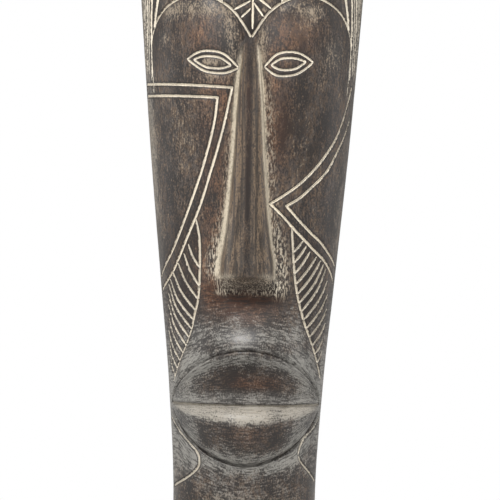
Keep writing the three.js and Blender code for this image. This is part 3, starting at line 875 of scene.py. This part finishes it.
def minus(tree, a, b, clamp=False):
    return math_node(tree, "SUBTRACT", a, b, clamp)


def named(tree, label):
    node = add(tree, "GeometryNodeInputNamedAttribute", {"Name": label}, data_type="FLOAT")
    return node.outputs["Attribute"]


# %% Build the carving tree
WAVES_PER_METRE = 60.0
PITS_PER_METRE = 330.0
CUT_POINT = 1.2
FARTHEST_REACH = 6.0


def carving_tree():
    tree = new_tree("carve_lines", [
        ("Geometry", "NodeSocketGeometry", None),
        ("Layout", "NodeSocketObject", None),
        ("Line Depth", "NodeSocketFloat", 1.0),
        ("Tool Marks", "NodeSocketFloat", 0.00025),
        ("Chisel Marks", "NodeSocketFloat", 0.0009),
        ("Finish", "NodeSocketMaterial", None),
    ])
    given = add(tree, "NodeGroupInput")
    wire = add(tree, "GeometryNodeObjectInfo", {"Object": given.outputs["Layout"]}).outputs["Geometry"]
    here = add(tree, "GeometryNodeInputPosition").outputs[0]
    near = add(tree, "GeometryNodeProximity", {0: wire}, target_element="EDGES")
    tree.links.new(here, near.inputs["Sample Position"])
    nearest = add(tree, "GeometryNodeSampleNearest", {"Geometry": wire, "Sample Position": here})

    def at_wire(field):
        sampled = add(tree, "GeometryNodeSampleIndex", {"Geometry": wire}, data_type="FLOAT", domain="POINT")
        tree.links.new(named(tree, field), sampled.inputs["Value"])
        tree.links.new(nearest.outputs[0], sampled.inputs["Index"])
        return sampled.outputs[0]

    reach = math_node(tree, "DIVIDE", near.outputs["Distance"], at_wire("half_width"))
    inside = minus(tree, 1.0, math_node(tree, "POWER", reach, 2.0), clamp=True)
    shape = math_node(tree, "POWER", inside, CUT_POINT)
    depth = times(tree, times(tree, shape, at_wire("cut_depth")), given.outputs["Line Depth"])

    marks = add(tree, "ShaderNodeTexNoise", {"Vector": here, "Scale": WAVES_PER_METRE, "Detail": 3.0})
    pits = add(tree, "ShaderNodeTexNoise", {"Vector": here, "Scale": PITS_PER_METRE, "Detail": 2.0})
    rough = times(tree, minus(tree, pits.outputs[0], 0.5), named(tree, "chiselled"))
    rough = times(tree, rough, given.outputs["Chisel Marks"])
    wavy = times(tree, minus(tree, marks.outputs[0], 0.5), given.outputs["Tool Marks"])
    lift = minus(tree, plus(tree, rough, wavy), depth)
    normal = add(tree, "GeometryNodeInputNormal").outputs[0]
    push = add(tree, "ShaderNodeVectorMath", {0: normal}, operation="SCALE")
    tree.links.new(lift, push.inputs["Scale"])

    noted = given.outputs["Geometry"]
    near_reach = math_node(tree, "MINIMUM", reach, FARTHEST_REACH)
    for label, value in (("line_reach", near_reach), ("line_chalk", at_wire("chalk"))):
        wired = {"Geometry": noted, "Name": label, "Value": value}
        noted = add(tree, "GeometryNodeStoreNamedAttribute", wired).outputs[0]
    moved = add(tree, "GeometryNodeSetPosition", {"Geometry": noted, "Offset": push.outputs[0]})
    real = add(tree, "GeometryNodeRealizeInstances", {"Geometry": moved.outputs[0]})
    dressed = add(tree, "GeometryNodeSetMaterial", {"Geometry": real.outputs[0]})
    tree.links.new(given.outputs["Finish"], dressed.inputs["Material"])
    leave = add(tree, "NodeGroupOutput")
    tree.links.new(dressed.outputs[0], leave.inputs[0])
    return tree


carve = carving_tree()
print("carving tree", len(carve.nodes), "nodes")

# %% [markdown]
# ## Keep detail where it is needed
# The fine grid is far too heavy. The Decimate modifier collapses edges where the surface is
# nearly flat and leaves them close together in the cuts. The result becomes a plain mesh.

# %% Run the tree, thin the mesh and keep the result
TRIANGLE_BUDGET = 190000


def socket_id(tree, label):
    items = tree.interface.items_tree
    return next(item.identifier for item in items if item.name == label and item.in_out == "INPUT")


def finish_mesh(piece, tree, finish):
    triangles = 2 * len(piece.data.polygons)
    carver = piece.modifiers.new("carve", "NODES")
    carver.node_group = tree
    carver[socket_id(tree, "Layout")] = layout
    carver[socket_id(tree, "Finish")] = finish
    thinner = piece.modifiers.new("thin", "DECIMATE")
    thinner.ratio = TRIANGLE_BUDGET / triangles
    seen = piece.evaluated_get(bpy.context.evaluated_depsgraph_get())
    plain = bpy.data.meshes.new_from_object(seen)
    piece.modifiers.clear()
    piece.data = plain
    plain.name = piece.name
    return plain


# %% [markdown]
# ## The finish
# The wood is stained nearly black, rubbed back to a warm brown in places and waxed. Whitewash was brushed on
# and wiped off, so it stays in the cuts, in the open grain and in the rough chiselled strips. Shade,
# highlights and sheen are painted into it too. One material holds all of it, layer over layer. It reads Object
# coordinates and the notes on the mesh.

# %% Helpers for the material
def empty_material(name):
    finish = bpy.data.materials.new(name)
    finish.use_nodes = True
    finish.node_tree.nodes.clear()
    return finish, finish.node_tree


def value_of(tree, label):
    node = tree.nodes.new("ShaderNodeAttribute")
    node.attribute_name = label
    return node.outputs["Fac"]


def ramp(tree, fac, low_at, high_at, low_value=0.0, high_value=1.0):
    """A soft step from low_value to high_value. low_at may be the greater one, for a falling step."""
    if low_at > high_at:
        low_at, high_at, low_value, high_value = high_at, low_at, high_value, low_value
    wired = {0: fac, 1: low_at, 2: high_at, 3: low_value, 4: high_value}
    return add(tree, "ShaderNodeMapRange", wired, interpolation_type="SMOOTHSTEP").outputs[0]


def noise(tree, where, stretch, detail=4.0, roughness=0.6):
    """Noise stretched along one or more axes. stretch is how many grains fit in a metre each way."""
    scaled = add(tree, "ShaderNodeMapping", {"Vector": where, "Scale": stretch}).outputs[0]
    wired = {"Vector": scaled, "Scale": 1.0, "Detail": detail, "Roughness": roughness}
    return add(tree, "ShaderNodeTexNoise", wired).outputs[0]


def blend(tree, fac, a, b):
    """Between two plain numbers."""
    return add(tree, "ShaderNodeMix", {0: fac, 2: a, 3: b}).outputs[0]


def blend_colour(tree, fac, a, b):
    return add(tree, "ShaderNodeMix", {0: fac, 6: a, 7: b}, data_type="RGBA").outputs[2]


# %% The colours
STAIN_DEEP = (0.013, 0.009, 0.007, 1)
STAIN_BROWN = (0.088, 0.056, 0.035, 1)
STAIN_GREY = (0.062, 0.049, 0.042, 1)
RUST = (0.165, 0.075, 0.036, 1)
RUST_DEEP = (0.050, 0.019, 0.009, 1)
NOSE_TAN = (0.140, 0.096, 0.058, 1)
FLECK = (0.32, 0.25, 0.17, 1)
MIST = (0.27, 0.262, 0.235, 1)
WHITEWASH = (0.73, 0.655, 0.53, 1)
VEIL_AND_SHEEN_GREY = (0.27, 0.257, 0.235, 1)
VEIL_AND_SHEEN_WARM = (0.272, 0.252, 0.222, 1)
CREAM = (0.52, 0.46, 0.36, 1)
CHIP_TAN = (0.37, 0.28, 0.19, 1)
EDGE_CREAM = (0.54, 0.47, 0.355, 1)


# %% The patterns that every layer of the finish is broken up by
def patterns(tree, where):
    """Named noises. The texture is brushed streaks, level round the mouth and upright elsewhere, and grit."""
    parts = add(tree, "ShaderNodeSeparateXYZ", {0: where})
    bent_where = add(tree, "ShaderNodeCombineXYZ", {0: parts.outputs[0], 1: parts.outputs[1]})
    tree.links.new(value_of(tree, "row_height"), bent_where.inputs[2])
    bent_where = bent_where.outputs[0]
    upright = noise(tree, where, (620, 620, 120), 4, 0.65)
    level = noise(tree, bent_where, (130, 130, 620), 4, 0.65)
    streak = blend(tree, value_of(tree, "around_mouth"), upright, level)
    grit = noise(tree, where, (860, 860, 520), 2, 0.55)
    return {
        "texture": plus(tree, times(tree, streak, 0.5), times(tree, grit, 0.5)),
        "rings": noise(tree, bent_where, (120, 120, 900), 2, 0.5),
        "chips": noise(tree, where, (760, 760, 240), 2, 0.55),
        "cloud": minus(tree, noise(tree, where, (48, 48, 20), 3, 0.6), 0.5),
        "mottle": noise(tree, where, (90, 90, 45), 4, 0.65),
        "tint": noise(tree, where, (330, 330, 160), 3, 0.6),
        "drawn": noise(tree, where, (330, 330, 9), 2, 0.5),
    }


# %% The bottom layer: stain, rubbed back to brown in places, and darkened where shade is painted
def stained_base(tree, notes, seen):
    stain = blend_colour(tree, ramp(tree, seen["tint"], 0.40, 0.60), STAIN_BROWN, STAIN_GREY)
    open_grain = plus(tree, seen["texture"], times(tree, seen["cloud"], 0.45))
    stain = blend_colour(tree, ramp(tree, open_grain, 0.56, 0.44), stain, STAIN_DEEP)
    rubbed = times(tree, notes["worn"], ramp(tree, seen["mottle"], 0.36, 0.58))
    rubbed = times(tree, rubbed, ramp(tree, seen["texture"], 0.38, 0.62, 0, 0.9))
    stain = blend_colour(tree, rubbed, stain, RUST)
    bare = times(tree, notes["nose_tan"], ramp(tree, seen["texture"], 0.40, 0.58, 0.15, 0.95))
    stain = blend_colour(tree, bare, stain, NOSE_TAN)
    # Painted shade: where the shade note is high the stain turns deep brown, rusty where it is worn
    deep = blend_colour(tree, notes["worn"], STAIN_DEEP, RUST_DEEP)
    shaded = times(tree, notes["shade"], ramp(tree, seen["mottle"], 0.40, 0.56, 1.15, 0.55))
    return blend_colour(tree, shaded, stain, deep)


# %% The whitewash wiped over it, and a pale veil of haze and painted sheen
def washed_over(tree, notes, seen, layered):
    """Gives the colour, and how much of the wood the whitewash covers."""
    patchy = times(tree, minus(tree, seen["mottle"], 0.5), 0.25)
    patchy = plus(tree, patchy, times(tree, seen["cloud"], 0.25))
    fill = plus(tree, plus(tree, seen["texture"], patchy), times(tree, notes["pale"], 0.24))
    cover = ramp(tree, fill, 0.60, 0.82, 0, 0.75)
    wash = blend_colour(tree, notes["around_mouth"], FLECK, MIST)
    wash = blend_colour(tree, notes["cream"], wash, CREAM)
    layered = blend_colour(tree, cover, layered, wash)
    scratches = times(tree, notes["nose_tan"], ramp(tree, seen["drawn"], 0.54, 0.42, 0, 0.75))
    layered = blend_colour(tree, scratches, layered, STAIN_DEEP)
    # A pale veil: whitewash haze, and the painted highlights and sheen round the mouth and at the sides
    veil = times(tree, notes["soft_pale"], ramp(tree, seen["texture"], 0.40, 0.62, 0.12, 0.5))
    veil_and_sheen_colour = blend_colour(tree, notes["around_mouth"], VEIL_AND_SHEEN_WARM, VEIL_AND_SHEEN_GREY)
    layered = blend_colour(tree, veil, layered, veil_and_sheen_colour)
    rings = times(tree, notes["around_mouth"], ramp(tree, notes["cream"], 0.8, 0.1, 0.3, 1))
    rings = times(tree, rings, ramp(tree, seen["rings"], 0.50, 0.38, 0, 0.7))
    return blend_colour(tree, rings, layered, STAIN_DEEP), cover


# %% The nose's rubbed edges and the chiselled strips beside them
def chiselled_strips(tree, notes, seen, layered):
    edge = times(tree, notes["nose_edge"], ramp(tree, seen["texture"], 0.40, 0.56, 0.6, 1.0))
    layered = blend_colour(tree, edge, layered, EDGE_CREAM)
    chip_colour = blend_colour(tree, notes["chiselled"], CHIP_TAN, CREAM)
    chips = times(tree, notes["chiselled"], ramp(tree, seen["chips"], 0.48, 0.62, 0, 0.85))
    layered = blend_colour(tree, chips, layered, chip_colour)
    dents = times(tree, notes["chiselled"], ramp(tree, seen["chips"], 0.46, 0.38, 0, 0.8))
    return blend_colour(tree, dents, layered, STAIN_DEEP)


# %% The knife lines: painted shade beside each cut and in the bare ones, and whitewash in them
def knife_lines(tree, notes, seen, layered):
    """Gives the colour, and how much whitewash lies in a cut. The reach is 1 at the cut's edge."""
    reach, chalk = notes["line_reach"], notes["line_chalk"]
    # Painted shade in a band along both sides of each cut
    painted_edge_shade = times(tree, ramp(tree, reach, 0.85, 1.15), ramp(tree, reach, 2.1, 1.4))
    painted_edge_shade = times(tree, painted_edge_shade, ramp(tree, chalk, 0.1, 0.7, 0.3, 0.85))
    layered = blend_colour(tree, painted_edge_shade, layered, STAIN_DEEP)
    # Painted shade in the cuts that hold little whitewash, such as the lips' lines
    painted_cut_shade = times(tree, ramp(tree, reach, 0.85, 0.4), ramp(tree, chalk, 0.3, 0.0, 0, 0.45))
    layered = blend_colour(tree, painted_cut_shade, layered, STAIN_DEEP)
    wash_edge = plus(tree, reach, times(tree, ramp(tree, seen["texture"], 0.38, 0.60), -0.3))
    in_cut = times(tree, ramp(tree, wash_edge, 0.8, 0.35), chalk)
    in_cut = times(tree, in_cut, ramp(tree, seen["mottle"], 0.3, 0.5, 0.75, 1))
    return blend_colour(tree, in_cut, layered, WHITEWASH), in_cut


# %% The shine: glossiest where it is polished, dull under chalk and in the shade
POLISHED_ROUGHNESS = 0.3
CHALKY_ROUGHNESS = 0.75
SHADED_ROUGHNESS = 0.9


def roughness_of(tree, notes, seen, chalky):
    rough = ramp(tree, seen["texture"], 0.42, 0.60, 0.48, 0.68)
    rough = blend(tree, notes["polished"], rough, POLISHED_ROUGHNESS)
    rough = blend(tree, times(tree, chalky, 0.8), rough, CHALKY_ROUGHNESS)
    return blend(tree, notes["shade"], rough, SHADED_ROUGHNESS)


# %% Build the stained wood
NOTES = ("worn", "pale", "cream", "chiselled", "shade", "nose_tan", "nose_edge", "around_mouth", "polished",
         "soft_pale", "line_reach", "line_chalk")
GRAIN_RELIEF = 0.0012


def stained_wood():
    finish, tree = empty_material("stained_wood_with_whitewash")
    where = add(tree, "ShaderNodeTexCoord").outputs["Object"]
    notes = {label: value_of(tree, label) for label in NOTES}
    seen = patterns(tree, where)

    layered = stained_base(tree, notes, seen)
    layered, cover = washed_over(tree, notes, seen, layered)
    layered = chiselled_strips(tree, notes, seen, layered)
    layered, in_cut = knife_lines(tree, notes, seen, layered)
    rough = roughness_of(tree, notes, seen, math_node(tree, "MAXIMUM", in_cut, cover))

    relief = ramp(tree, notes["polished"], 0, 0.8, 0.5, 0.12)
    wired = {"Height": seen["texture"], "Strength": relief, "Distance": GRAIN_RELIEF}
    bump = add(tree, "ShaderNodeBump", wired)
    shader = add(tree, "ShaderNodeBsdfPrincipled", {"Base Color": layered, "Roughness": rough})
    tree.links.new(bump.outputs[0], shader.inputs["Normal"])
    shader.inputs["Specular IOR Level"].default_value = 0.45
    shader.inputs["Coat Weight"].default_value = 0.1
    shader.inputs["Coat Roughness"].default_value = 0.32
    add(tree, "ShaderNodeOutputMaterial", {"Surface": shader.outputs[0]})
    return finish


wood = stained_wood()
carved = finish_mesh(mask, carve, wood)
bpy.data.objects.remove(layout)
print("carved mesh", len(carved.polygons), "faces")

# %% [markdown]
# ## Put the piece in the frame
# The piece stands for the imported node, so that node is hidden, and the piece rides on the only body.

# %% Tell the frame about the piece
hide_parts(NODE)
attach(mask, "root")

# %% [markdown]
# ## Floor, light and camera
# A dark, waxed carving is read by its reflections. Tall soft boxes at both sides brighten the flanks, and
# one above in front puts a soft shine on the muzzle and the lips. The floor is pale and fades into the
# white surroundings.

# %% The floor
FLOOR_RADIUS = 3.0
FLOOR_FADE = (0.15, 0.3)


def pale_floor():
    bpy.ops.mesh.primitive_circle_add(vertices=96, radius=FLOOR_RADIUS, fill_type="NGON", location=(0, 0, 0))
    floor = bpy.context.object
    floor.name = "floor"
    finish, tree = empty_material("pale_floor")
    where = add(tree, "ShaderNodeTexCoord").outputs["Object"]
    far = add(tree, "ShaderNodeVectorMath", {0: where}, operation="LENGTH").outputs["Value"]
    paper = add(tree, "ShaderNodeBsdfDiffuse", {"Color": (0.85, 0.85, 0.84, 1)}).outputs[0]
    glow = add(tree, "ShaderNodeEmission", {"Color": (1, 1, 1, 1), "Strength": 1.0}).outputs[0]
    fade = add(tree, "ShaderNodeMixShader", {0: ramp(tree, far, *FLOOR_FADE), 1: paper, 2: glow})
    add(tree, "ShaderNodeOutputMaterial", {"Surface": fade.outputs[0]})
    floor.data.materials.append(finish)
    return floor


pale_floor()

# %% The surroundings
WORLD_LIGHT = 0.24


def surroundings():
    world = bpy.data.worlds.new("studio")
    bpy.context.scene.world = world
    world.use_nodes = True
    tree = world.node_tree
    tree.nodes.clear()
    seen = add(tree, "ShaderNodeBackground", {"Color": (1, 1, 1, 1), "Strength": 1.0}).outputs[0]
    cast = add(tree, "ShaderNodeBackground", {"Color": (1, 1, 1, 1), "Strength": WORLD_LIGHT}).outputs[0]
    by_camera = add(tree, "ShaderNodeLightPath").outputs["Is Camera Ray"]
    both = add(tree, "ShaderNodeMixShader", {0: by_camera, 1: cast, 2: seen})
    add(tree, "ShaderNodeOutputWorld", {"Surface": both.outputs[0]})


surroundings()
bpy.context.scene.view_settings.view_transform = "Standard"

# %% The soft boxes
def soft_box(name, place, size, power, aim=(0, 0, 0.28)):
    data = bpy.data.lights.new(name, "AREA")
    data.shape = "RECTANGLE"
    data.size, data.size_y = size
    data.energy = power
    box = bpy.data.objects.new(name, data)
    bpy.context.collection.objects.link(box)
    box.location = place
    way = np.array(aim) - np.array(place)
    flat = math.hypot(way[0], way[1])
    box.rotation_euler = (math.atan2(flat, -way[2]), 0, math.atan2(way[1], way[0]) - math.pi / 2)
    return box


soft_box("left_box", (-1.3, -0.1, 0.45), (0.5, 1.6), 9)
soft_box("right_box", (1.3, -0.1, 0.45), (0.5, 1.6), 9)
soft_box("top_box", (-0.2, -1.14, 1.56), (0.45, 0.4), 27)
soft_box("front_box", (-0.2, -1.6, 0.9), (0.8, 0.8), 7)

# %% [markdown]
# ## The camera
# It stands level with the middle of the picture, as far away as the curve of the mouth's slit shows, and is
# rolled by a little under one degree, because the log leans that much in the picture.

# %% Place the camera
CAMERA_DISTANCE = 1.8
CAMERA_HEIGHT = 0.277
CAMERA_SIDE = 0.0018
SHOWN_HEIGHT = 0.4725
ROLL = 0.92
SENSOR = 24

view = bpy.data.cameras.new("camera")
view.sensor_fit = "VERTICAL"
view.sensor_height = SENSOR
view.lens = SENSOR * CAMERA_DISTANCE / SHOWN_HEIGHT
camera = bpy.data.objects.new("camera", view)
bpy.context.collection.objects.link(camera)
camera.location = (CAMERA_SIDE, -CAMERA_DISTANCE, CAMERA_HEIGHT)
camera.rotation_euler = (math.pi / 2, -math.radians(ROLL), 0)
bpy.context.scene.camera = camera
print("lens", round(view.lens, 1), "mm")

# %% A box as plain numbers
def plain(box):
    return [[float(v) for v in corner] for corner in box]
